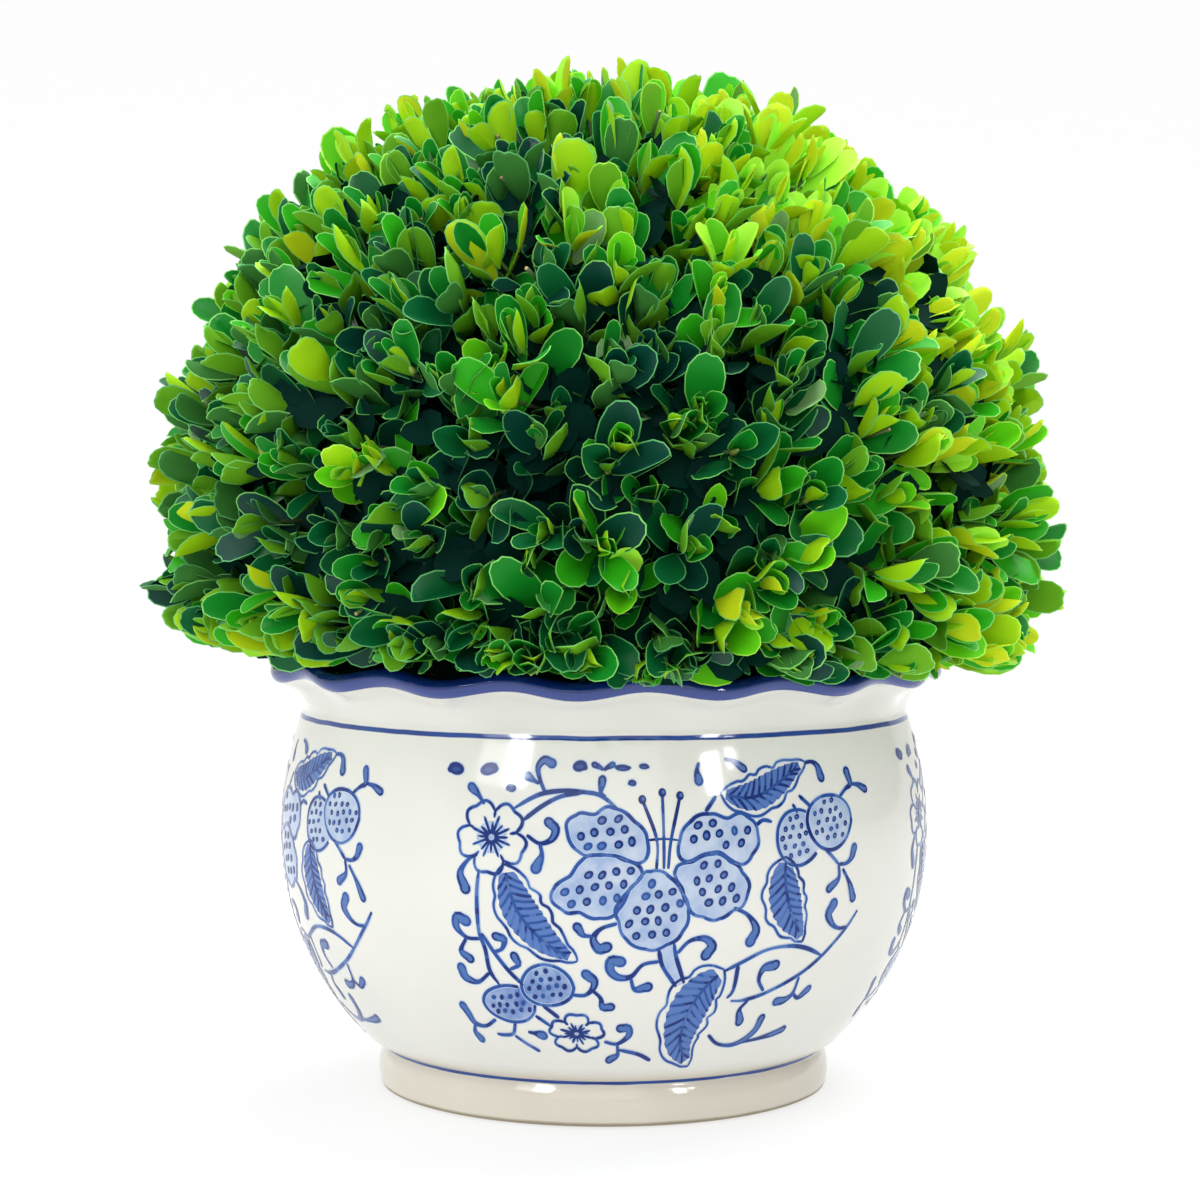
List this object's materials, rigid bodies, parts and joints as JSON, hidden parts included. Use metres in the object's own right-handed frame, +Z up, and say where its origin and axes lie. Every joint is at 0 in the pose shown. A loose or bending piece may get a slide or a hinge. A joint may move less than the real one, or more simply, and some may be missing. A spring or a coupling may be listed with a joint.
{
  "type": "box topiary ball in a pot",
  "caption": "Clipped box ball of small leathery leaves, set low in a round glazed pot with a foot ring and a flared, scalloped rim painted with scrolling flowers.",
  "frame": {"origin": "The middle of the flat ring that the pot stands on, at floor level; the pot, the stem and the ball are centred above it.", "axes": "+Z is up, along the stem and the axis of the pot and the ball. -Y is the front, towards which the middle of one painted panel nearly faces. +X is to the right as seen from the front."},
  "size_m": [0.3051, 0.3046, 0.3484],
  "materials": {
    "glazed_ceramic": "glossy off-white glaze with cobalt blue painting under it",
    "potting_soil": "moist dark potting mix, crumbly and matt",
    "box_bark": "grey-brown fissured bark",
    "box_leaf": "satin evergreen leaves, dark to mid green, lighter underneath"
  },
  "bodies": {
    "root": {"pot": "glazed_ceramic", "potting_mix": "potting_soil", "stem": "box_bark", "foliage_ball": "box_leaf"}
  },
  "joints": []
}
